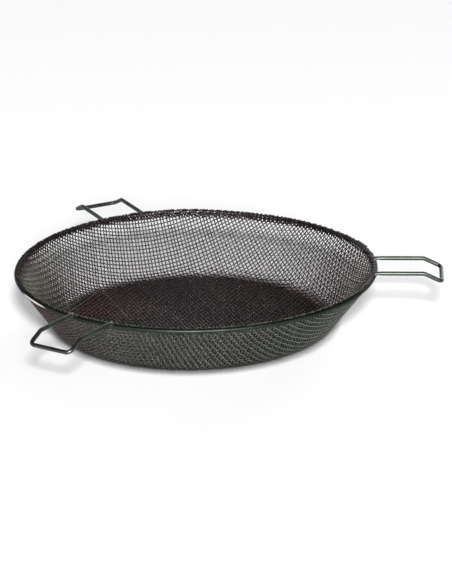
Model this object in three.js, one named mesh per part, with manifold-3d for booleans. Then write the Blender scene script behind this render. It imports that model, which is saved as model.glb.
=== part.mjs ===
// A round wire sieve: a pressed bowl of wire cloth, hemmed inside a rim hoop, with three
// fixed handles of bent wire welded over the hoop.
// Millimetres, +Z up. The origin is under the middle of the floor, on the plane the sieve rests on,
// and the first handle points along +X.
import * as THREE from 'three';
import { mergeVertices } from 'three/addons/utils/BufferGeometryUtils.js';
import Module from 'manifold-3d';

// Bowl
const RIM_DIAMETER = 400; // outside of the rim hoop
const RIM_HEIGHT = 64.5; // middle of the hoop above the resting plane
const FLOOR_RADIUS = 142; // flat part of the floor
const CORNER_RADIUS = 20; // bend from the floor to the wall, on the underside

// Wire cloth: two sets of parallel wires, one set lying on the other
const CLOTH_PITCH = 4.1; // spacing of the real wires
const PITCHES_PER_WIRE = 2; // every second wire of the real cloth is drawn
const CLOTH_WIRE = 1.4;
const LAYER_GAP = 0.6; // clear space between the two sets
const CLOTH_TURN = THREE.MathUtils.degToRad(23); // the lower set's direction, from +X
const CHORD_ERROR = 0.45; // how far a straight facet may leave the wire's true curve
const FACET_TRIM = 0.95; // share kept of a facet that leaves it further

// Hem: the cloth's edge doubled over, one band on each set of wires
const HEM_BAND = 2; // thickness of one band
const HEM_TOP = 0.7; // above the middle of the hoop
const HEM_FOOT = 4.4; // below the middle of the hoop, where the wall runs into it
const HEM_LAP = 0.5; // how far a band reaches below the ends of its wires

// Rim hoop and handles
const HOOP_WIRE = 5;
const HANDLE_WIRE = 4.6;
const HANDLE_WIDTH = 50.4; // between the middles of the two legs
const HANDLE_INNER_END = 194; // where a leg stops, just inside the hoop
const HANDLE_KNEE = 250; // where the legs bend down
const HANDLE_REACH = 269; // middle of the cross bar
const HANDLE_DROP = 9; // the cross bar below the legs
const HANDLE_LIFT = 3.3; // the legs' middle above the hoop's: the weld sets them down into each other
const KNEE_BEND = 9; // bend radii on the middle of the wire
const CORNER_BEND = 5.5;

const SEAT_GAP = 0.3; // clearance between pieces that touch
const RIM_SIDES = 72;
const WIRE_SIDES = 8;
const BEND_STEPS = 4;

const CLOTH_FINISH = { color: 0x302d2b, roughness: 0.55, metalness: 0.85 };
const ROD_FINISH = { color: 0x353a34, roughness: 0.4, metalness: 0.85 };

const wasm = await Module();
wasm.setup();

const hoopRadius = RIM_DIAMETER / 2 - HOOP_WIRE / 2;
const hemOuterRadius = hoopRadius - HOOP_WIRE / 2 - SEAT_GAP;
const hemMiddleRadius = hemOuterRadius - HEM_BAND - SEAT_GAP / 2;
const clothMiddle = CLOTH_WIRE + LAYER_GAP / 2; // middle of the cloth above its underside
const wallAngle = findWallAngle();
const cornerLength = wallAngle * (CORNER_RADIUS - clothMiddle);

// The wall's straight line touches the corner's arc and runs up into the foot of the hem.
function findWallAngle() {
  const across = hemMiddleRadius - FLOOR_RADIUS;
  const up = RIM_HEIGHT - HEM_FOOT - CORNER_RADIUS;
  const bendRadius = CORNER_RADIUS - clothMiddle;
  return Math.atan2(up, across) + Math.asin(bendRadius / Math.hypot(across, up));
}

// Radius, height and inward tilt of a layer of the bowl, by the distance from the middle of the
// floor measured along the cloth. The lift is the layer's height above the underside of the cloth.
function profileAt(distance, lift) {
  if (distance <= FLOOR_RADIUS) return { radius: distance, height: lift, tilt: 0 };
  const past = distance - FLOOR_RADIUS;
  const tilt = wallAngle * Math.min(past / cornerLength, 1);
  const alongWall = Math.max(past - cornerLength, 0);
  const bendRadius = CORNER_RADIUS - lift;
  return {
    radius: FLOOR_RADIUS + bendRadius * Math.sin(tilt) + alongWall * Math.cos(wallAngle),
    height: CORNER_RADIUS - bendRadius * Math.cos(tilt) + alongWall * Math.sin(wallAngle),
    tilt,
  };
}

// Distance along the cloth at which a layer's wall reaches the middle of its hem band.
function layerReach(lift, bandRadius) {
  const wallFoot = profileAt(FLOOR_RADIUS + cornerLength, lift).radius;
  return FLOOR_RADIUS + cornerLength + (bandRadius - wallFoot) / Math.cos(wallAngle);
}

// A cross section of a wire: its middle and two directions across it.
function makeStation(point, normal, tangent) {
  return { point, normal, tangent, binormal: tangent.clone().cross(normal).normalize() };
}

// A wire's middle line, given by its stations.
class StationPath extends THREE.Curve {
  constructor(stations) {
    super();
    this.stations = stations;
  }

  getSpacedPoints() {
    return this.stations.map((station) => station.point);
  }

  computeFrenetFrames() {
    return {
      tangents: this.stations.map((station) => station.tangent),
      normals: this.stations.map((station) => station.normal),
      binormals: this.stations.map((station) => station.binormal),
    };
  }
}

function sweep(section, stations) {
  const extrudePath = new StationPath(stations);
  return new THREE.ExtrudeGeometry(section, { steps: stations.length - 1, extrudePath });
}

// The cloth's thin wire has three sides, with a flat one towards the outside of the bowl.
function clothSection() {
  const half = CLOTH_WIRE / 2;
  const corners = [[half, 0], [-half, half], [-half, -half]];
  return new THREE.Shape(corners.map(([x, y]) => new THREE.Vector2(x, y)));
}

function roundSection(diameter, sides) {
  const corners = [];
  for (let i = 0; i < sides; i += 1) {
    const angle = (2 * Math.PI * (i + 0.5)) / sides;
    corners.push(new THREE.Vector2(Math.cos(angle), Math.sin(angle)).multiplyScalar(diameter / 2));
  }
  return new THREE.Shape(corners);
}

function toSolid(geometry) {
  const bare = geometry.clone();
  bare.deleteAttribute('normal');
  bare.deleteAttribute('uv');
  const merged = mergeVertices(bare);
  return new wasm.Manifold(new wasm.Mesh({
    numProp: 3,
    vertProperties: new Float32Array(merged.attributes.position.array),
    triVerts: new Uint32Array(merged.index.array),
  }));
}

function toGeometry(solid) {
  const mesh = solid.getMesh();
  const geometry = new THREE.BufferGeometry();
  geometry.setAttribute('position', new THREE.BufferAttribute(mesh.vertProperties, 3));
  geometry.setIndex(new THREE.BufferAttribute(mesh.triVerts, 1));
  geometry.computeVertexNormals();
  return geometry;
}

// The flat cloth is laid over the bowl so that distances from the middle of the floor are kept:
// a wire runs straight across the floor and closes up towards its neighbours on the wall.
function clothStation(layer, along, across) {
  const pointAt = (place) => {
    const { radius, height } = profileAt(Math.hypot(place, across), layer.lift);
    const angle = Math.atan2(across, place) + layer.turn;
    return new THREE.Vector3(radius * Math.cos(angle), radius * Math.sin(angle), height);
  };
  const step = CHORD_ERROR / 10;
  const tangent = pointAt(along + step).sub(pointAt(along - step)).normalize();
  const { tilt } = profileAt(Math.hypot(along, across), layer.lift);
  const angle = Math.atan2(across, along) + layer.turn;
  const inward = new THREE.Vector3(
    -Math.sin(tilt) * Math.cos(angle),
    -Math.sin(tilt) * Math.sin(angle),
    Math.cos(tilt),
  );
  inward.addScaledVector(tangent, -inward.dot(tangent)).normalize();
  return makeStation(pointAt(along), inward, tangent);
}

// How far a straight facet between two places leaves the wire's curve.
function facetError(layer, across, start, end) {
  const pointAt = (share) => clothStation(layer, start + (end - start) * share, across).point;
  const facet = new THREE.Line3(pointAt(0), pointAt(1));
  const errors = [0.25, 0.5, 0.75].map((share) => {
    const point = pointAt(share);
    return facet.closestPointToPoint(point, true, new THREE.Vector3()).distanceTo(point);
  });
  return Math.max(...errors);
}

// Places after the start, each as far on as one straight facet can follow the wire.
function facetEnds(layer, across, start, end) {
  let reached = end;
  while (facetError(layer, across, start, reached) > CHORD_ERROR) {
    reached = start + (reached - start) * FACET_TRIM;
  }
  if (reached === end) return [end];
  return [reached, ...facetEnds(layer, across, reached, end)];
}

function clothWire(layer, across) {
  const floorEnd = Math.sqrt(Math.max(FLOOR_RADIUS ** 2 - across ** 2, 0));
  const rimEnd = Math.sqrt(layer.reach ** 2 - across ** 2);
  const half = facetEnds(layer, across, floorEnd, rimEnd);
  const middle = floorEnd > 0 ? [-floorEnd, floorEnd] : [0];
  const places = [...half.map((place) => -place).reverse(), ...middle, ...half];
  const stations = places.map((place) => clothStation(layer, place, across));
  return toSolid(sweep(clothSection(), stations));
}

function hemBand(layer) {
  const inner = layer.bandRadius - HEM_BAND / 2;
  const outer = layer.bandRadius + HEM_BAND / 2;
  const foot = profileAt(layer.reach, layer.lift).height - HEM_LAP;
  const top = RIM_HEIGHT + HEM_TOP;
  const outline = [[inner, foot], [outer, foot], [outer, top], [inner, top], [inner, foot]];
  const profile = outline.map(([radius, height]) => new THREE.Vector2(radius, height));
  return toSolid(new THREE.LatheGeometry(profile, RIM_SIDES).rotateX(Math.PI / 2));
}

// One set of the cloth's wires, each held at both ends by the set's own hem band.
function clothLayer(lift, bandRadius, turn) {
  const layer = { lift, bandRadius, turn, reach: layerReach(lift, bandRadius) };
  const spacing = CLOTH_PITCH * PITCHES_PER_WIRE;
  const count = Math.floor((layer.reach - CLOTH_WIRE) / spacing);
  let solid = hemBand(layer);
  for (let i = -count; i <= count; i += 1) {
    solid = solid.add(clothWire(layer, i * spacing));
  }
  return toGeometry(solid);
}

// Points along a path of straight runs whose corners are rounded to the given radii.
function roundedPath(corners) {
  const points = [corners[0].point];
  for (let i = 1; i < corners.length - 1; i += 1) {
    const { point, bend } = corners[i];
    const back = corners[i - 1].point.clone().sub(point).normalize();
    const ahead = corners[i + 1].point.clone().sub(point).normalize();
    const halfAngle = back.angleTo(ahead) / 2;
    const centreDirection = back.clone().add(ahead).normalize();
    const centre = point.clone().addScaledVector(centreDirection, bend / Math.sin(halfAngle));
    const from = point.clone().addScaledVector(back, bend / Math.tan(halfAngle)).sub(centre);
    const axis = back.clone().cross(ahead).normalize();
    const sweepAngle = -(Math.PI - 2 * halfAngle);
    for (let step = 0; step <= BEND_STEPS; step += 1) {
      const turned = from.clone().applyAxisAngle(axis, (sweepAngle * step) / BEND_STEPS);
      points.push(turned.add(centre));
    }
  }
  points.push(corners[corners.length - 1].point);
  return points;
}

// Stations along a line of points, with the section carried round the bends without twist.
function carriedStations(points, firstNormal) {
  const last = points.length - 1;
  const directions = points.map((point, i) => {
    const before = points[Math.max(i - 1, 0)];
    const after = points[Math.min(i + 1, last)];
    const arriving = point.clone().sub(before).normalize();
    const leaving = after.clone().sub(point).normalize();
    return arriving.add(leaving).normalize();
  });
  let normal = firstNormal.clone();
  return points.map((point, i) => {
    const previous = directions[Math.max(i - 1, 0)];
    const turn = new THREE.Quaternion().setFromUnitVectors(previous, directions[i]);
    normal = normal.clone().applyQuaternion(turn).normalize();
    return makeStation(point, normal, directions[i]);
  });
}

function rimHoop(wire) {
  const hoop = new THREE.TorusGeometry(hoopRadius, wire / 2, WIRE_SIDES, RIM_SIDES);
  return hoop.translate(0, 0, RIM_HEIGHT);
}

// A handle along +X: two legs over the hoop, bent down and closed by a cross bar. The legs are
// hollowed where they sit on the hoop, as the weld leaves them.
function handle() {
  const legHeight = RIM_HEIGHT + HANDLE_LIFT;
  const barHeight = legHeight - HANDLE_DROP;
  const side = HANDLE_WIDTH / 2;
  const corner = (x, y, z, bend) => ({ point: new THREE.Vector3(x, y, z), bend });
  const path = roundedPath([
    corner(HANDLE_INNER_END, side, legHeight),
    corner(HANDLE_KNEE, side, legHeight, KNEE_BEND),
    corner(HANDLE_REACH, side, barHeight, CORNER_BEND),
    corner(HANDLE_REACH, -side, barHeight, CORNER_BEND),
    corner(HANDLE_KNEE, -side, legHeight, KNEE_BEND),
    corner(HANDLE_INNER_END, -side, legHeight),
  ]);
  const stations = carriedStations(path, new THREE.Vector3(0, 0, 1));
  const wire = toSolid(sweep(roundSection(HANDLE_WIRE, WIRE_SIDES), stations));
  return toGeometry(wire.subtract(toSolid(rimHoop(HOOP_WIRE + 2 * SEAT_GAP))));
}

function addPiece(parent, name, geometry, finish) {
  const piece = new THREE.Mesh(geometry, new THREE.MeshStandardMaterial(finish));
  piece.name = name;
  parent.add(piece);
  return piece;
}

const lowerLift = CLOTH_WIRE / 2;
const upperLift = lowerLift + CLOTH_WIRE + LAYER_GAP;
const bandOffset = (HEM_BAND + SEAT_GAP) / 2;

const sieve = new THREE.Group();
const weft = clothLayer(lowerLift, hemMiddleRadius + bandOffset, CLOTH_TURN);
const warp = clothLayer(upperLift, hemMiddleRadius - bandOffset, CLOTH_TURN + Math.PI / 2);
addPiece(sieve, 'weft_wires', weft, CLOTH_FINISH);
addPiece(sieve, 'warp_wires', warp, CLOTH_FINISH);
addPiece(sieve, 'rim_hoop', rimHoop(HOOP_WIRE), ROD_FINISH);

const handleNames = ['right_handle', 'rear_handle', 'front_handle'];
handleNames.forEach((name, i) => {
  const piece = addPiece(sieve, name, handle(), ROD_FINISH);
  piece.rotation.z = (2 * Math.PI * i) / handleNames.length;
});

export default sieve;
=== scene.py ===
import math
import bpy
import numpy as np
from mathutils import Matrix, Vector


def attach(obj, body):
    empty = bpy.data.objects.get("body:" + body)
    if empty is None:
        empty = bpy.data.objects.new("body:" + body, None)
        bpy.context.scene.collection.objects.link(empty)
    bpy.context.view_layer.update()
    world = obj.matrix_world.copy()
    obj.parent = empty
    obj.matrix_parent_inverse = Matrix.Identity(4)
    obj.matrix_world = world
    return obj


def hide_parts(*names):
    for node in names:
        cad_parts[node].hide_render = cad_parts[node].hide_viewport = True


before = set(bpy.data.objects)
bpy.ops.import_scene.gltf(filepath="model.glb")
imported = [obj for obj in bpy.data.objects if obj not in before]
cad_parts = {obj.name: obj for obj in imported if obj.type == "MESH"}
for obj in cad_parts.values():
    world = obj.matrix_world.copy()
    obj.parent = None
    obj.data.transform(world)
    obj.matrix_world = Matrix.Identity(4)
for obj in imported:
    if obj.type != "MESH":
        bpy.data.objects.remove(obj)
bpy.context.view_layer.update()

mm = 0.001
seed = 41
random = np.random.default_rng(seed)
mergeWithin = 0.00001  # points closer than this become one


def deselectAll():
    if bpy.context.mode != "OBJECT":
        bpy.ops.object.mode_set(mode="OBJECT")
    bpy.ops.object.select_all(action="DESELECT")


def pick(obj):
    deselectAll()
    obj.select_set(True)
    bpy.context.view_layer.objects.active = obj


def editAll(obj):
    pick(obj)
    bpy.ops.object.mode_set(mode="EDIT")
    bpy.ops.mesh.select_all(action="SELECT")


def selectPoints(obj, chosen):  # chosen: one true or false for each point
    pick(obj)
    mesh = obj.data
    mesh.polygons.foreach_set("select", np.zeros(len(mesh.polygons), bool))
    mesh.edges.foreach_set("select", np.zeros(len(mesh.edges), bool))
    mesh.vertices.foreach_set("select", chosen)
    bpy.ops.object.mode_set(mode="EDIT")
    bpy.ops.mesh.select_mode(type="VERT")


def pointsOf(obj):
    flat = np.empty(len(obj.data.vertices) * 3)
    obj.data.vertices.foreach_get("co", flat)
    return flat.reshape(-1, 3)


def movePoints(obj, points):
    obj.data.vertices.foreach_set("co", np.ascontiguousarray(points).ravel())
    obj.data.update()


def addArray(obj, count, step, merge):
    pick(obj)
    repeat = obj.modifiers.new("repeat", "ARRAY")
    repeat.count = count
    repeat.use_relative_offset = False
    repeat.use_constant_offset = True
    repeat.constant_offset_displace = step
    repeat.use_merge_vertices = merge
    repeat.merge_threshold = 2 * mergeWithin
    bpy.ops.object.modifier_apply(modifier=repeat.name)


def copyOf(obj, name):
    double = obj.copy()
    double.data = obj.data.copy()
    double.name = name
    double.data.name = name
    bpy.context.collection.objects.link(double)
    return double


def outwardAt(azimuth):  # level headings, one for each angle round the bowl
    return np.stack([np.cos(azimuth), np.sin(azimuth), np.zeros_like(azimuth)], 1)


def awayFrom(azimuth, at):  # the shorter way round, as an angle
    return np.abs((azimuth - at + np.pi) % (2 * np.pi) - np.pi)


def keepValues(obj, name, values):  # a value for each point, for the finish to read
    layer = obj.data.attributes.new(name, "FLOAT", "POINT")
    layer.data.foreach_set("value", values.astype(np.float32))


# camera, at the photograph's viewing angle
shot = {
    "elevation": math.radians(20.04),
    "turn": math.radians(3.52),  # the right handle stands this far to the front of the picture's right
    "roll": math.radians(-0.91),
    "target": Vector((0.03252, 0, 0.03535)),
    "distance": 3.0,
    "lens": 167.8,
    "sensor": 36,
    "clipEnd": 50,
}


def placeCamera():
    turn = Matrix.Rotation(shot["turn"], 3, "Z")
    forward = Vector((0, math.cos(shot["elevation"]), -math.sin(shot["elevation"])))
    right = Vector((1, 0, 0))
    up = right.cross(forward)
    rolledRight = right * math.cos(shot["roll"]) + up * math.sin(shot["roll"])
    rolledUp = up * math.cos(shot["roll"]) - right * math.sin(shot["roll"])
    place = turn @ (shot["target"] - forward * shot["distance"])
    axes = [turn @ rolledRight, turn @ rolledUp, turn @ -forward]
    bpy.ops.object.camera_add()
    camera = bpy.context.object
    camera.data.lens = shot["lens"]
    camera.data.sensor_width = shot["sensor"]
    camera.data.clip_end = shot["clipEnd"]
    turned = Matrix(axes).transposed().to_4x4()
    camera.matrix_world = Matrix.Translation(place) @ turned
    bpy.context.scene.camera = camera


deselectAll()
placeCamera()
print("camera placed")


# the bowl's section: the middle of the cloth from the floor's middle out to the edge laid over the hoop
bowl = {
    "rimHeight": 64.5,  # middle of the hoop
    "hoopRadius": 197.1,
    "hoopWire": 4.6,
    "floorRadius": 139.5,
    "floorHeight": 1.5,
    "cornerBend": 24.0,
    "hemFoot": 60.0,
    "hemBend": 5.0,
    "edgeGap": 0.9,  # from the hoop's surface to the middle of the cloth
    "edgeEnd": math.radians(84),
    "stretch": 1.12,  # the press drew the cloth out by this much beyond the floor
    "flattened": 0.16,  # share of the crimp left where the edge is pressed to the hoop
    "flattenOver": 7.0,
    "pressedWide": 2.2,  # the wires spread this much there
    "pressedThin": 0.8,
    "pressFrom": 5.5,  # how far below the turn that starts, and how much less at the left and right
    "pressLess": 3.0,
    "pressOver": 2.0,
    "sagAt": math.radians(58),  # the rim is a little out of true, low at the back right
    "sagHalf": math.radians(34),
    "sagDepth": 2.7,
    "floorShift": (-3.5, 2.0),  # and the press set the floor a little to the back left
    "cornerSteps": 24,  # straight steps in each bend of the section
    "hemSteps": 8,
    "edgeSteps": 18,
}


def rimSag(azimuth):
    away = awayFrom(azimuth, bowl["sagAt"])
    return bowl["sagDepth"] * np.exp(-(away / bowl["sagHalf"]) ** 4)  # even in the middle, soft at its ends


def bowlSection():
    corners = bowl["cornerBend"]
    edgeBend = bowl["hoopWire"] / 2 + bowl["edgeGap"]
    hemRadius = bowl["hoopRadius"] - edgeBend
    across = hemRadius - bowl["floorRadius"]
    rise = bowl["hemFoot"] - bowl["floorHeight"] - corners
    wallAngle = math.atan2(rise, across) + math.asin(corners / math.hypot(across, rise))
    points = [(0.0, bowl["floorHeight"])]

    def arc(middle, radius, start, end, steps):
        for i in range(steps + 1):
            angle = start + (end - start) * i / steps
            points.append((middle[0] + radius * math.cos(angle), middle[1] + radius * math.sin(angle)))

    quarter = math.pi / 2
    wallStart = wallAngle - quarter
    floorEnd = (bowl["floorRadius"], bowl["floorHeight"] + corners)
    arc(floorEnd, corners, -quarter, wallStart, bowl["cornerSteps"])
    footTurn = bowl["hemBend"] * math.tan((quarter - wallAngle) / 2)
    wallEnd = (hemRadius - bowl["hemBend"], bowl["hemFoot"] + footTurn)
    arc(wallEnd, bowl["hemBend"], wallStart, 0, bowl["hemSteps"])
    turnIn = len(points)
    hoopMiddle = (bowl["hoopRadius"], bowl["rimHeight"])
    arc(hoopMiddle, edgeBend, math.pi, bowl["edgeEnd"], bowl["edgeSteps"])
    line = np.array(points)
    steps = np.diff(line, axis=0)
    lengths = np.hypot(steps[:, 0], steps[:, 1])
    reach = np.concatenate([[0], np.cumsum(lengths)])
    headings = np.unwrap(np.arctan2(steps[:, 1], steps[:, 0]))
    heading = np.concatenate([[headings[0]], (headings[1:] + headings[:-1]) / 2, [headings[-1]]])
    drawn = np.maximum(reach - bowl["floorRadius"], 0)
    flatReach = reach - drawn * (1 - 1 / bowl["stretch"])
    return flatReach, line[:, 0], line[:, 1], heading, flatReach[turnIn]


sectionReach, sectionRadius, sectionHeight, sectionHeading, edgeReach = bowlSection()
clothRadius = sectionReach[-1]
print("bowl section: cloth cut to a radius of %.1f mm" % clothRadius)


# wire cloth: straight wires laid flat, cut round, then crimped and pressed into the bowl
cloth = {
    "pitch": 4.1,
    "wire": 1.4,
    "crimp": {"weft": 0.66, "warp": 0.74},  # how far each set swings to either side of the cloth's middle
    "sides": 6,
    "stepsPerPitch": 4,
    "turn": math.radians(23),
    "wander": 0.17,
    "slips": 0.04,  # share of wires that slipped aside in the press
    "slipBy": 0.6,
    "swayLength": 37.0,
    "thirds": 0.265,  # a strip this share of the radius to either side holds a third of the disc's area
    "slopeStep": 0.05,  # how far ahead and behind the run of a wire is measured
    "cutEnd": 2.0,  # the last of each wire, and how much wear and painted glint it gets
    "cutCrown": 0.6,
}


def flatWire():
    deselectAll()
    step = cloth["pitch"] / cloth["stepsPerPitch"]
    rings = 2 * int(clothRadius / step / 2) + 2
    bpy.ops.mesh.primitive_circle_add(
        vertices=cloth["sides"], radius=cloth["wire"] / 2, fill_type="NOTHING",
        rotation=(0, math.pi / 2, 0), location=(-rings * step, 0, 0))
    bpy.ops.object.transform_apply(location=True, rotation=True, scale=True)
    wire = bpy.context.object
    editAll(wire)
    bpy.ops.mesh.extrude_region_move(TRANSFORM_OT_translate={"value": (step, 0, 0)})
    bpy.ops.object.mode_set(mode="OBJECT")
    addArray(wire, 2 * rings, (step, 0, 0), True)
    return wire


def layWires(wire, name, first, last):  # wires number first to last, cut to the round
    wires = copyOf(wire, name)
    pitch = cloth["pitch"]
    addArray(wires, last - first + 1, (0, pitch, 0), False)
    points = pointsOf(wires)
    points[:, 1] += first * pitch
    movePoints(wires, points)
    row = np.round(points[:, 1] / pitch) * pitch
    selectPoints(wires, np.hypot(points[:, 0], row) > clothRadius)
    bpy.ops.mesh.delete(type="VERT")
    bpy.ops.mesh.select_all(action="SELECT")
    bpy.ops.mesh.delete_loose()
    bpy.ops.mesh.select_all(action="SELECT")
    bpy.ops.mesh.fill_holes(sides=cloth["sides"])
    bpy.ops.mesh.select_all(action="SELECT")
    bpy.ops.mesh.normals_make_consistent(inside=False)
    bpy.ops.object.mode_set(mode="OBJECT")
    return wires


def pressPoint(along, row, turn):  # from the flat cloth to the bowl: place, and the cloth's inner normal
    reach = np.hypot(along, row)
    azimuth = np.arctan2(row, along) + turn
    radius = np.interp(reach, sectionReach, sectionRadius)
    height = np.interp(reach, sectionReach, sectionHeight)
    height = height - rimSag(azimuth) * (height / bowl["rimHeight"]) ** 2
    heading = np.interp(reach, sectionReach, sectionHeading)
    outward = outwardAt(azimuth)
    place = outward * radius[:, None]
    place[:, :2] += np.outer(1 - height / bowl["rimHeight"], bowl["floorShift"])
    place[:, 2] = height
    inner = -outward * np.sin(heading)[:, None]
    inner[:, 2] = np.cos(heading)
    return place, inner


def pressWires(wires, turn, start, crimp, wander):
    pitch = cloth["pitch"]
    points = pointsOf(wires)
    along = points[:, 0]
    number = np.round(points[:, 1] / pitch).astype(int)
    aside = points[:, 1] - number * pitch
    up = points[:, 2]
    shift, sway, phase = wander
    swayed = sway[number] * np.sin(along / cloth["swayLength"] + phase[number])
    row = number * pitch + shift[number] + swayed
    wave = np.pi * along / pitch + np.pi * number + start
    reach = np.hypot(along, row)
    swing = crimp * np.interp(reach, [edgeReach - bowl["flattenOver"], edgeReach], [1, bowl["flattened"]])
    across = np.cos(np.arctan2(row, along) + turn)
    pressFrom = edgeReach - bowl["pressFrom"] + bowl["pressLess"] * across ** 2
    pressed = np.clip((reach - pressFrom) / bowl["pressOver"], 0, 1)
    aside = aside * (1 + pressed * (bowl["pressedWide"] - 1))
    thin = up * (1 + pressed * (bowl["pressedThin"] - 1))
    crest = swing * np.cos(wave)
    slope = -swing * np.pi / pitch * np.sin(wave)
    place, inner = pressPoint(along, row, turn)
    ahead, _ = pressPoint(along + cloth["slopeStep"], row, turn)
    behind, _ = pressPoint(along - cloth["slopeStep"], row, turn)
    run = ahead - behind
    run /= np.linalg.norm(run, axis=1)[:, None]
    side = np.cross(inner, run)
    side /= np.linalg.norm(side, axis=1)[:, None]
    tilt = 1 / np.sqrt(1 + slope ** 2)
    lift = inner * tilt[:, None] - run * (slope * tilt)[:, None]
    shaped = place + inner * crest[:, None] + side * aside[:, None] + lift * thin[:, None]
    movePoints(wires, shaped * mm)
    # crown: the outer top of each crimp, where wear and a painted glint go, and the cut ends as well
    crown = np.cos(wave) * up / (cloth["wire"] / 2)
    atEnd = reach > clothRadius - cloth["cutEnd"]
    keepValues(wires, "crown", np.where(atEnd, cloth["cutCrown"], crown))
    keepValues(wires, "inside", up / (cloth["wire"] / 2))
    keepValues(wires, "pressed", pressed)
    keepValues(wires, "wireTone", phase[number] / (2 * np.pi))


def makeCloth():
    wire = flatWire()
    last = int(clothRadius / cloth["pitch"])
    inner = int(cloth["thirds"] * clothRadius / cloth["pitch"])
    shares = [(-last, -inner - 1), (-inner, inner), (inner + 1, last)]
    size = 2 * last + 3  # enough for wires number -last to last
    families = [("weft", "weft_wires", 0, 0), ("warp", "warp_wires", math.pi / 2, math.pi)]
    made = []
    for family, node, turn, start in families:
        slipped = random.random(size) < cloth["slips"]
        shift = random.normal(0, cloth["wander"], size)
        shift += slipped * random.choice([-1, 1], size) * cloth["slipBy"]
        sway = random.normal(0, cloth["wander"], size)
        phase = random.uniform(0, 2 * np.pi, size)
        for part, (low, high) in zip(("a", "b", "c"), shares):
            wires = layWires(wire, family + "_" + part, low, high)
            pressWires(wires, cloth["turn"] + turn, start, cloth["crimp"][family], (shift, sway, phase))
            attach(wires, "root")
            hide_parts(node)
            pick(wires)
            bpy.ops.object.shade_smooth()
            made.append(wires)
            print("cloth", wires.name, "triangles", sum(len(p.vertices) - 2 for p in wires.data.polygons))
    bpy.data.objects.remove(wire)
    return made


clothPieces = makeCloth()


# rim hoop: one smooth wire round the outside of the hem, closed by a butt weld
hoop = {
    "around": 180,
    "sides": 20,
    "weldAt": math.radians(75),
    "weldLength": 5.0,
    "weldSwell": 0.06,
    "bareAt": math.radians(213),  # a painted highlight is centred here: a bright patch where a reflection shows
    "bareHalf": math.radians(8),
    "bareSide": math.radians(2),
    "bareWidth": math.radians(34),
    "bareFade": 1.5,  # the painted highlight stops beyond this many times that reach
}


def makeHoop():
    deselectAll()
    bpy.ops.mesh.primitive_circle_add(
        vertices=hoop["sides"], radius=bowl["hoopWire"] / 2 * mm, fill_type="NOTHING",
        rotation=(math.pi / 2, 0, 0), location=Vector((bowl["hoopRadius"], 0, bowl["rimHeight"])) * mm)
    bpy.ops.object.transform_apply(location=True, rotation=True, scale=True)
    ring = bpy.context.object
    ring.name = "rimHoop"
    editAll(ring)
    bpy.ops.mesh.spin(steps=hoop["around"], angle=2 * math.pi, center=(0, 0, 0), axis=(0, 0, 1))
    bpy.ops.mesh.select_all(action="SELECT")
    bpy.ops.mesh.remove_doubles(threshold=mergeWithin)
    bpy.ops.mesh.normals_make_consistent(inside=False)
    bpy.ops.object.mode_set(mode="OBJECT")
    points = pointsOf(ring)
    azimuth = np.arctan2(points[:, 1], points[:, 0])
    sag = rimSag(azimuth) * mm
    gap = awayFrom(azimuth, hoop["weldAt"]) * bowl["hoopRadius"]
    weld = np.exp(-(gap / hoop["weldLength"]) ** 2)
    middle = outwardAt(azimuth) * bowl["hoopRadius"] * mm
    middle[:, 2] = bowl["rimHeight"] * mm
    swell = 1 + hoop["weldSwell"] * weld
    moved = middle + (points - middle) * swell[:, None]
    moved[:, 2] -= sag
    movePoints(ring, moved)
    keepValues(ring, "weldHeat", weld)
    # painted highlight: a bright patch on the hoop's outer face at the left front, where a reflection shows
    outward = np.hypot(points[:, 0], points[:, 1]) - bowl["hoopRadius"] * mm
    lean = np.arctan2(points[:, 2] - bowl["rimHeight"] * mm, outward)
    turned = awayFrom(azimuth, hoop["bareAt"]) / hoop["bareHalf"]
    tilted = np.abs(lean - hoop["bareSide"]) / hoop["bareWidth"]
    keepValues(ring, "paintedGlint", np.clip(hoop["bareFade"] - np.hypot(turned, tilted), 0, 1))
    pick(ring)
    bpy.ops.object.shade_smooth()
    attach(ring, "root")
    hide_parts("rim_hoop")
    return ring


hoopPiece = makeHoop()
print("hoop made")


# handles: one wire each, bent down and closed by a cross bar, its ends pressed flat and welded to the hoop
handle = {
    "wire": 4.55,
    "sides": 16,
    "width": 50.4,
    "innerEnd": 194.8,
    "knee": 250.0,
    "reach": 268.9,
    "drop": 9.0,
    "lift": 3.1,
    "kneeBend": 9.0,
    "cornerBend": 5.5,
    # each ring of a flattened tip: distance from the end, width and height
    "tip": [(0.0, 0.55, 0.45), (0.5, 0.85, 0.75), (1.6, 1.08, 0.86), (5.5, 1.1, 0.86), (9.0, 1.0, 1.0)],
    "kneeSteps": 6,
    "cornerSteps": 8,
    "bead": (3.4, 3.3, 2.1),
    "beadSides": (16, 10),
    "beadAt": (0.4, 2.0),  # outward from where a leg crosses the hoop, and up from the hoop's middle
    "heatReach": 4.5,  # how far the weld scorched the coat
    "smoothUnder": math.radians(40),
    "stand": [("right_handle", 0), ("rear_handle", 120), ("front_handle", 240)],  # degrees round the rim
}


def pushOut(direction, length):
    step = direction * (length * mm)
    bpy.ops.mesh.extrude_region_move(TRANSFORM_OT_translate={"value": step})


def bendRound(middle, axis, angle, steps):
    bpy.ops.mesh.spin(steps=steps, angle=-angle, center=middle, axis=axis)  # spin turns clockwise


def squeeze(at, wide, high):
    bpy.ops.transform.resize(value=(1, wide, high), center_override=at * mm)


def drawTip(at, direction, rings):  # rings: distance from the first, width and height of each
    wasAt, wide, high = rings[0]
    for distance, nextWide, nextHigh in rings[1:]:
        pushOut(direction, abs(distance - wasAt))
        at += direction * abs(distance - wasAt)
        squeeze(at, nextWide / wide, nextHigh / high)
        wasAt, wide, high = distance, nextWide, nextHigh


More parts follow.
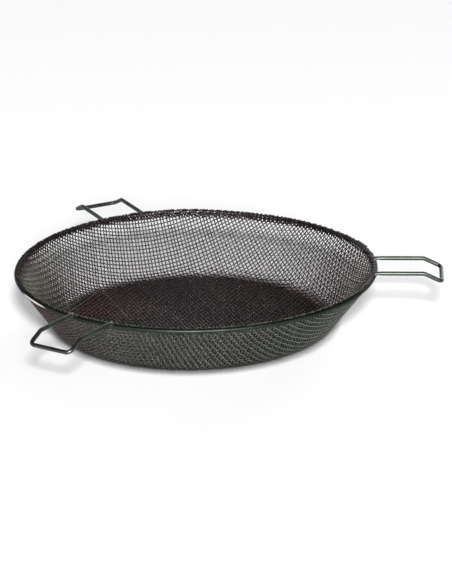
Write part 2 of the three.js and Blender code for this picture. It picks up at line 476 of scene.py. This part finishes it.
def addBead(piece, place):  # a small puddle of weld where a leg crosses the hoop
    deselectAll()
    around, rings = handle["beadSides"]
    bpy.ops.mesh.primitive_uv_sphere_add(segments=around, ring_count=rings, radius=mm, location=place * mm)
    bead = bpy.context.object
    bead.scale = handle["bead"]
    bpy.ops.object.transform_apply(location=True, rotation=True, scale=True)
    pick(piece)
    union = piece.modifiers.new("weld", "BOOLEAN")
    union.operation = "UNION"
    union.solver = "EXACT"
    union.object = bead
    bpy.ops.object.modifier_apply(modifier=union.name)
    bpy.data.objects.remove(bead)


def makeHandle():
    deselectAll()
    side = handle["width"] / 2
    level = bowl["rimHeight"] + handle["lift"]
    fall = math.atan2(handle["drop"], handle["reach"] - handle["knee"])
    kneeCut = handle["kneeBend"] * math.tan(fall / 2)
    slope = math.hypot(handle["drop"], handle["reach"] - handle["knee"])
    slopeLength = slope - kneeCut - handle["cornerBend"]
    tipLength = handle["tip"][-1][0]
    legLength = handle["knee"] - kneeCut - handle["innerEnd"] - tipLength
    outward = Vector((1, 0, 0))
    sideways = Vector((0, 1, 0))
    down = Vector((math.cos(fall), 0, -math.sin(fall)))
    square = down.cross(sideways)
    at = Vector((handle["innerEnd"], -side, level))
    bpy.ops.mesh.primitive_circle_add(
        vertices=handle["sides"], radius=handle["wire"] / 2 * mm, fill_type="NGON",
        rotation=(0, math.pi / 2, 0), location=at * mm)
    bpy.ops.object.transform_apply(location=True, rotation=True, scale=True)
    piece = bpy.context.object
    editAll(piece)
    squeeze(at, handle["tip"][0][1], handle["tip"][0][2])
    drawTip(at, outward, handle["tip"])
    pushOut(outward, legLength)
    at += outward * legLength
    bendRound((at + Vector((0, 0, -handle["kneeBend"]))) * mm, sideways, fall, handle["kneeSteps"])
    at = Vector((handle["knee"], -side, level)) + down * kneeCut
    pushOut(down, slopeLength)
    at += down * slopeLength
    bendRound((at + sideways * handle["cornerBend"]) * mm, square, math.pi / 2, handle["cornerSteps"])
    at += (down + sideways) * handle["cornerBend"]
    barLength = handle["width"] - 2 * handle["cornerBend"]
    pushOut(sideways, barLength)
    at += sideways * barLength
    bendRound((at - down * handle["cornerBend"]) * mm, square, math.pi / 2, handle["cornerSteps"])
    at += (sideways - down) * handle["cornerBend"]
    pushOut(-down, slopeLength)
    at -= down * slopeLength
    away = Vector((math.sin(fall), 0, math.cos(fall)))
    bendRound((at - away * handle["kneeBend"]) * mm, -sideways, fall, handle["kneeSteps"])
    at = Vector((handle["knee"] - kneeCut, side, level))
    pushOut(-outward, legLength)
    at -= outward * legLength
    drawTip(at, -outward, handle["tip"][::-1])
    bpy.ops.mesh.select_all(action="SELECT")
    bpy.ops.mesh.remove_doubles(threshold=mergeWithin)
    bpy.ops.mesh.normals_make_consistent(inside=False)
    bpy.ops.object.mode_set(mode="OBJECT")
    crossing = math.sqrt(bowl["hoopRadius"] ** 2 - side ** 2)
    beadOut, beadUp = handle["beadAt"]
    for leg in (-side, side):
        addBead(piece, Vector((crossing + beadOut, leg, bowl["rimHeight"] + beadUp)))
    points = pointsOf(piece) / mm
    weld = np.exp(-((points[:, 0] - crossing) / handle["heatReach"]) ** 2)
    keepValues(piece, "weldHeat", weld)
    pick(piece)
    bpy.ops.object.shade_smooth_by_angle(angle=handle["smoothUnder"])
    return piece


def placeHandles():
    first = makeHandle()
    made = []
    for name, degrees in handle["stand"]:
        piece = copyOf(first, name + "_wire")
        turn = Matrix.Rotation(math.radians(degrees), 4, "Z")
        piece.data.transform(turn)
        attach(piece, "root")
        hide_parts(name)
        made.append(piece)
    bpy.data.objects.remove(first)
    return made


handlePieces = placeHandles()
print("handles made")


# finishes: small makers of nodes first
def startFinish(name):
    material = bpy.data.materials.new(name)
    material.use_nodes = True
    return material, material.node_tree, material.node_tree.nodes["Principled BSDF"]


def feed(tree, socket, value):  # value: another node's output, or a plain number or colour
    if isinstance(value, bpy.types.NodeSocket):
        tree.links.new(value, socket)
    else:
        socket.default_value = value


def readValue(tree, name):
    node = tree.nodes.new("ShaderNodeAttribute")
    node.attribute_name = name
    return node.outputs["Fac"]


def axesOf(tree):  # X, Y and Z of the place on the object
    place = tree.nodes.new("ShaderNodeTexCoord")
    split = tree.nodes.new("ShaderNodeSeparateXYZ")
    tree.links.new(place.outputs["Object"], split.inputs[0])
    return split.outputs


def grainAt(tree, scale, detail):
    place = tree.nodes.new("ShaderNodeTexCoord")
    grain = tree.nodes.new("ShaderNodeTexNoise")
    grain.inputs["Scale"].default_value = scale
    grain.inputs["Detail"].default_value = detail
    tree.links.new(place.outputs["Object"], grain.inputs["Vector"])
    return grain.outputs["Fac"]


def spread(tree, value, low, high, toLow, toHigh):  # low to high becomes toLow to toHigh, and stops there
    node = tree.nodes.new("ShaderNodeMapRange")
    feed(tree, node.inputs["Value"], value)
    node.inputs["From Min"].default_value = low
    node.inputs["From Max"].default_value = high
    node.inputs["To Min"].default_value = toLow
    node.inputs["To Max"].default_value = toHigh
    return node.outputs["Result"]


def workOut(tree, operation, one, other):
    node = tree.nodes.new("ShaderNodeMath")
    node.operation = operation
    feed(tree, node.inputs[0], one)
    feed(tree, node.inputs[1], other)
    return node.outputs[0]


def times(tree, one, other):
    return workOut(tree, "MULTIPLY", one, other)


def plus(tree, one, other):
    return workOut(tree, "ADD", one, other)


def mixTone(tree, factor, one, other, kind="MIX"):
    node = tree.nodes.new("ShaderNodeMix")
    node.data_type = "RGBA"
    node.blend_type = kind
    feed(tree, node.inputs["Factor"], factor)
    feed(tree, node.inputs["A"], one)
    feed(tree, node.inputs["B"], other)
    return node.outputs["Result"]


def roughenSurface(tree, shader, height, strength, depth):
    node = tree.nodes.new("ShaderNodeBump")
    node.inputs["Strength"].default_value = strength
    node.inputs["Distance"].default_value = depth
    tree.links.new(height, node.inputs["Height"])
    tree.links.new(node.outputs["Normal"], shader.inputs["Normal"])


# cloth wire: blackened steel, brown inside the bowl, grey-green outside, lighter on the crowns partly from
# wear and partly as a painted glint, with a painted sheen inside the bowl's left end and a painted shade on
# the pressed edge
clothFinish = {
    "inner": (0.028, 0.020, 0.020, 1),
    "outer": (0.048, 0.0555, 0.045, 1),
    # painted sheen: the inside of the bowl's left end, below the hem, is lighter, as where light catches
    # the wires
    "paintedSheen": (0.13, 0.13, 0.11, 1),
    "burnt": (0.060, 0.024, 0.028, 1),
    "wornAndGlint": (0.40, 0.39, 0.375, 1),
    "metallic": 0.85,
    "rough": (0.22, 0.4),
    "outerRough": 0.08,  # added outside
    "paintedSheenRough": 0.3,  # added where the sheen is painted
    "endRough": 0.35,  # added on the pressed edge, most at the bowl's left end
    # painted shade: the pressed edge is darker, most at the bowl's left end and less at its right end
    "endShade": 0.4,
    "wearAndGlint": 0.9,
    "outerWearAndGlint": 0.8,
    "wireTones": (0.85, 1.15),  # from wire to wire
    "bump": (0.2, 0.0001),
    # noise: scale and detail
    "burntGrain": (18, 3),
    "stainGrain": (9, 3),
    "patchGrain": (14, 3),
    "fineGrain": (420, 3),
    "bumpGrain": (1600, 2),
    # spreads over the bowl in metres: from, to, share at each
    "burntByX": (-0.16, -0.06, 1.7, 0),
    "stainByZ": (0.012, 0.035, 0.5, 0),
    "paintedSheenByX": (-0.18, -0.13, 1, 0),
    "paintedSheenByZ": (0.052, 0.06, 1, 0),
    "leftEndByX": (-0.17, -0.11, 1, 0.25),
    "rightEndByX": (0.11, 0.17, 0, 0.25),
    # spreads over noise and point values
    "stainSpots": (0.48, 0.62, 0, 1),
    "wornAndGlintSpots": (0.4, 0.65, 0, 1),
    "patchTones": (0.35, 0.65, 0.8, 1.2),
    "roughSpots": (0.3, 0.7),
    "innerSide": (-0.3, 0.3, 0, 1),
    "crownTop": (0.5, 1),
}


def makeClothFinish():
    material, tree, shader = startFinish("blackenedClothWire")
    axes = axesOf(tree)
    burntGrain = grainAt(tree, *clothFinish["burntGrain"])
    burnt = times(tree, spread(tree, axes["X"], *clothFinish["burntByX"]), burntGrain)
    outer = mixTone(tree, burnt, clothFinish["outer"], clothFinish["burnt"])
    low = spread(tree, axes["Z"], *clothFinish["stainByZ"])
    stainGrain = grainAt(tree, *clothFinish["stainGrain"])
    stained = times(tree, low, spread(tree, stainGrain, *clothFinish["stainSpots"]))
    inner = mixTone(tree, stained, clothFinish["inner"], clothFinish["burnt"])
    # painted sheen inside the bowl's left end, below the hem
    leftSide = spread(tree, axes["X"], *clothFinish["paintedSheenByX"])
    belowHem = spread(tree, axes["Z"], *clothFinish["paintedSheenByZ"])
    inner = mixTone(tree, times(tree, leftSide, belowHem), inner, clothFinish["paintedSheen"])
    leftEnd = spread(tree, axes["X"], *clothFinish["leftEndByX"])
    rightEnd = spread(tree, axes["X"], *clothFinish["rightEndByX"])
    ends = times(tree, readValue(tree, "pressed"), plus(tree, leftEnd, rightEnd))
    facing = spread(tree, readValue(tree, "inside"), *clothFinish["innerSide"])
    tint = mixTone(tree, facing, outer, inner)
    fine = grainAt(tree, *clothFinish["fineGrain"])
    # the crown tops are lighter, partly from wear and partly as a painted glint
    crowns = spread(tree, readValue(tree, "crown"), *clothFinish["crownTop"], 0, clothFinish["wearAndGlint"])
    crowns = times(tree, crowns, spread(tree, facing, 0, 1, clothFinish["outerWearAndGlint"], 1))
    paintedGlint = times(tree, crowns, spread(tree, fine, *clothFinish["wornAndGlintSpots"]))
    wornAndGlint = mixTone(tree, paintedGlint, tint, clothFinish["wornAndGlint"])
    wireTone = spread(tree, readValue(tree, "wireTone"), 0, 1, *clothFinish["wireTones"])
    patches = spread(tree, grainAt(tree, *clothFinish["patchGrain"]), *clothFinish["patchTones"])
    # painted shade on the pressed edge
    endShade = spread(tree, ends, 0, 1, 1, clothFinish["endShade"])
    tone = times(tree, times(tree, wireTone, patches), endShade)
    feed(tree, shader.inputs["Base Color"], mixTone(tree, 1.0, wornAndGlint, tone, "MULTIPLY"))
    shader.inputs["Metallic"].default_value = clothFinish["metallic"]
    rough = spread(tree, fine, *clothFinish["roughSpots"], *clothFinish["rough"])
    rough = plus(tree, rough, spread(tree, facing, 0, 1, clothFinish["outerRough"], 0))
    rough = plus(tree, rough, spread(tree, leftSide, 0, 1, 0, clothFinish["paintedSheenRough"]))
    rough = plus(tree, rough, spread(tree, ends, 0, 1, 0, clothFinish["endRough"]))
    feed(tree, shader.inputs["Roughness"], rough)
    roughenSurface(tree, shader, grainAt(tree, *clothFinish["bumpGrain"]), *clothFinish["bump"])
    return material


# rod of the hoop and handles: drawn steel with a green-black coat, scorched beside the welds, with a
# painted highlight on the hoop's left front
rodFinish = {
    "hoopTones": [(0.028, 0.035, 0.028, 1), (0.0435, 0.051, 0.0425, 1)],
    "handleTones": [(0.060, 0.070, 0.059, 1), (0.090, 0.100, 0.088, 1)],
    "scorched": (0.15, 0.145, 0.135, 1),
    "metallic": 1.0,
    "edgeTint": (0.55, 0.56, 0.55, 1),
    "toneByX": (-0.1, 0.2, 1.2, 0.85),  # darker towards the right and lighter towards the left, on the hoop and handles alike
    # colour of the painted highlight on the hoop
    "bare": (0.8, 0.8, 0.79, 1),
    "hoopRough": (0.38, 0.55),
    "handleRough": (0.30, 0.46),
    "bump": (0.18, 0.0002),
    # noise: scale and detail
    "coatGrain": (60, 5),
    "fineGrain": (900, 4),
    "roughGrain": (240, 5),
    # spreads over noise and point values
    "coatSpots": (0.35, 0.65, 0, 1),
    "heatSpots": (0.3, 0.6, 0.4, 1),
    "roughSpots": (0.3, 0.7),
    "bareEdge": (0.45, 0.7, 0, 1),
}


def makeRodFinish(name, tones, rough):
    material, tree, shader = startFinish(name)
    coat = spread(tree, grainAt(tree, *rodFinish["coatGrain"]), *rodFinish["coatSpots"])
    fine = grainAt(tree, *rodFinish["fineGrain"])
    depth = spread(tree, axesOf(tree)["X"], *rodFinish["toneByX"])
    tint = mixTone(tree, 1.0, mixTone(tree, coat, *tones), depth, "MULTIPLY")
    heat = times(tree, readValue(tree, "weldHeat"), spread(tree, fine, *rodFinish["heatSpots"]))
    scorched = mixTone(tree, heat, tint, rodFinish["scorched"])
    # painted highlight on the hoop, standing in for a reflection
    bare = spread(tree, readValue(tree, "paintedGlint"), *rodFinish["bareEdge"])
    feed(tree, shader.inputs["Base Color"], mixTone(tree, bare, scorched, rodFinish["bare"]))
    shader.inputs["Metallic"].default_value = rodFinish["metallic"]
    shader.inputs["Specular Tint"].default_value = rodFinish["edgeTint"]
    roughGrain = grainAt(tree, *rodFinish["roughGrain"])
    feed(tree, shader.inputs["Roughness"], spread(tree, roughGrain, *rodFinish["roughSpots"], *rough))
    roughenSurface(tree, shader, fine, *rodFinish["bump"])
    return material


clothMetal = makeClothFinish()
hoopMetal = makeRodFinish("greenBlackHoop", rodFinish["hoopTones"], rodFinish["hoopRough"])
handleMetal = makeRodFinish("greenBlackHandle", rodFinish["handleTones"], rodFinish["handleRough"])
for piece in clothPieces:
    piece.data.materials.append(clothMetal)
hoopPiece.data.materials.append(hoopMetal)
for piece in handlePieces:
    piece.data.materials.append(handleMetal)
print("finishes set")


# floor and light
studio = {
    "floorSize": 12.0,
    "floorColor": (0.8, 0.8, 0.8, 1),
    "floorWhite": (1.0, 1.0, 1.01, 1),
    "nearShade": 0.010,  # reach of the soft shade close to the bowl
    "nearDepth": 1.7,
    "nearSamples": 8,
    "skyTones": [(0.0, 0.95), (0.06, 0.75), (0.2, 0.25), (0.5, 0.07), (1.0, 0.04)],  # height, brightness
    "skyBehind": (0, 0.8, 1, 2.2),  # how much brighter it gets towards the back
    "keyAt": (0.503, -4.3, 2.49),
    "keyStrength": 3.55,  # light on a surface that faces it, the same at any distance
    "keySize": 0.32,
    "lampAway": 3.0,
    "lamps": [  # name, strength, spread, azimuth and elevation in degrees
        ("lowLight", 2.5, 10, -83, 18),
        ("sideLight", 1.2, 24, 70, 14),
        ("backLight", 0.3, 22, 95, 25),
    ],
}


def makeFloor():
    deselectAll()
    bpy.ops.mesh.primitive_plane_add(size=studio["floorSize"])
    floor = bpy.context.object
    floor.name = "floor"
    material = bpy.data.materials.new("paleFloor")
    material.use_nodes = True
    tree = material.node_tree
    tree.nodes.clear()
    out = tree.nodes.new("ShaderNodeOutputMaterial")
    light = tree.nodes.new("ShaderNodeLightPath")
    seen = light.outputs["Is Camera Ray"]
    for kind in ("Is Glossy Ray", "Is Transmission Ray"):
        seen = workOut(tree, "MAXIMUM", seen, light.outputs[kind])
    near = tree.nodes.new("ShaderNodeAmbientOcclusion")
    near.samples = studio["nearSamples"]
    near.inputs["Distance"].default_value = studio["nearShade"]
    deeper = workOut(tree, "POWER", near.outputs["AO"], studio["nearDepth"])
    white = mixTone(tree, 1.0, studio["floorWhite"], deeper, "MULTIPLY")
    shade = tree.nodes.new("ShaderNodeBsdfDiffuse")
    tree.links.new(mixTone(tree, seen, studio["floorColor"], white), shade.inputs["Color"])
    tree.links.new(shade.outputs[0], out.inputs["Surface"])
    floor.data.materials.append(material)


def makeWorld():
    world = bpy.data.worlds.new("whiteStudio")
    bpy.context.scene.world = world
    world.use_nodes = True
    nodes = world.node_tree.nodes
    links = world.node_tree.links
    place = nodes.new("ShaderNodeTexCoord")
    split = nodes.new("ShaderNodeSeparateXYZ")
    ramp = nodes.new("ShaderNodeValToRGB")
    stops = ramp.color_ramp.elements
    while len(stops) < len(studio["skyTones"]):
        stops.new(0.5)
    for stop, (height, tone) in zip(stops, studio["skyTones"]):
        stop.position = height
        stop.color = (tone, tone, tone, 1)
    links.new(place.outputs["Generated"], split.inputs[0])
    links.new(split.outputs["Z"], ramp.inputs["Fac"])
    links.new(ramp.outputs["Color"], nodes["Background"].inputs["Color"])
    behind = spread(world.node_tree, split.outputs["Y"], *studio["skyBehind"])
    links.new(behind, nodes["Background"].inputs["Strength"])


def makeKeyLight():
    bpy.ops.object.light_add(type="POINT", location=studio["keyAt"])
    lamp = bpy.context.object
    lamp.name = "keyLight"
    lamp.data.energy = studio["keyStrength"] * 4 * math.pi
    lamp.data.shadow_soft_size = studio["keySize"]
    lamp.data.use_nodes = True
    tree = lamp.data.node_tree
    even = tree.nodes.new("ShaderNodeLightFalloff")
    even.inputs["Strength"].default_value = 1.0
    tree.links.new(even.outputs["Constant"], tree.nodes["Emission"].inputs["Strength"])


def makeLights():
    for name, strength, width, azimuth, elevation in studio["lamps"]:
        bpy.ops.object.light_add(type="SUN")
        lamp = bpy.context.object
        lamp.name = name
        lamp.data.energy = strength
        lamp.data.angle = math.radians(width)
        around = math.radians(azimuth)
        above = math.radians(elevation)
        level = math.cos(above)
        heading = Vector((math.cos(around) * level, math.sin(around) * level, math.sin(above)))
        lamp.location = heading * studio["lampAway"]
        lamp.rotation_euler = heading.to_track_quat("Z", "Y").to_euler()


makeFloor()
makeWorld()
makeKeyLight()
makeLights()
bpy.context.scene.view_settings.view_transform = "Standard"
print("floor and light set")
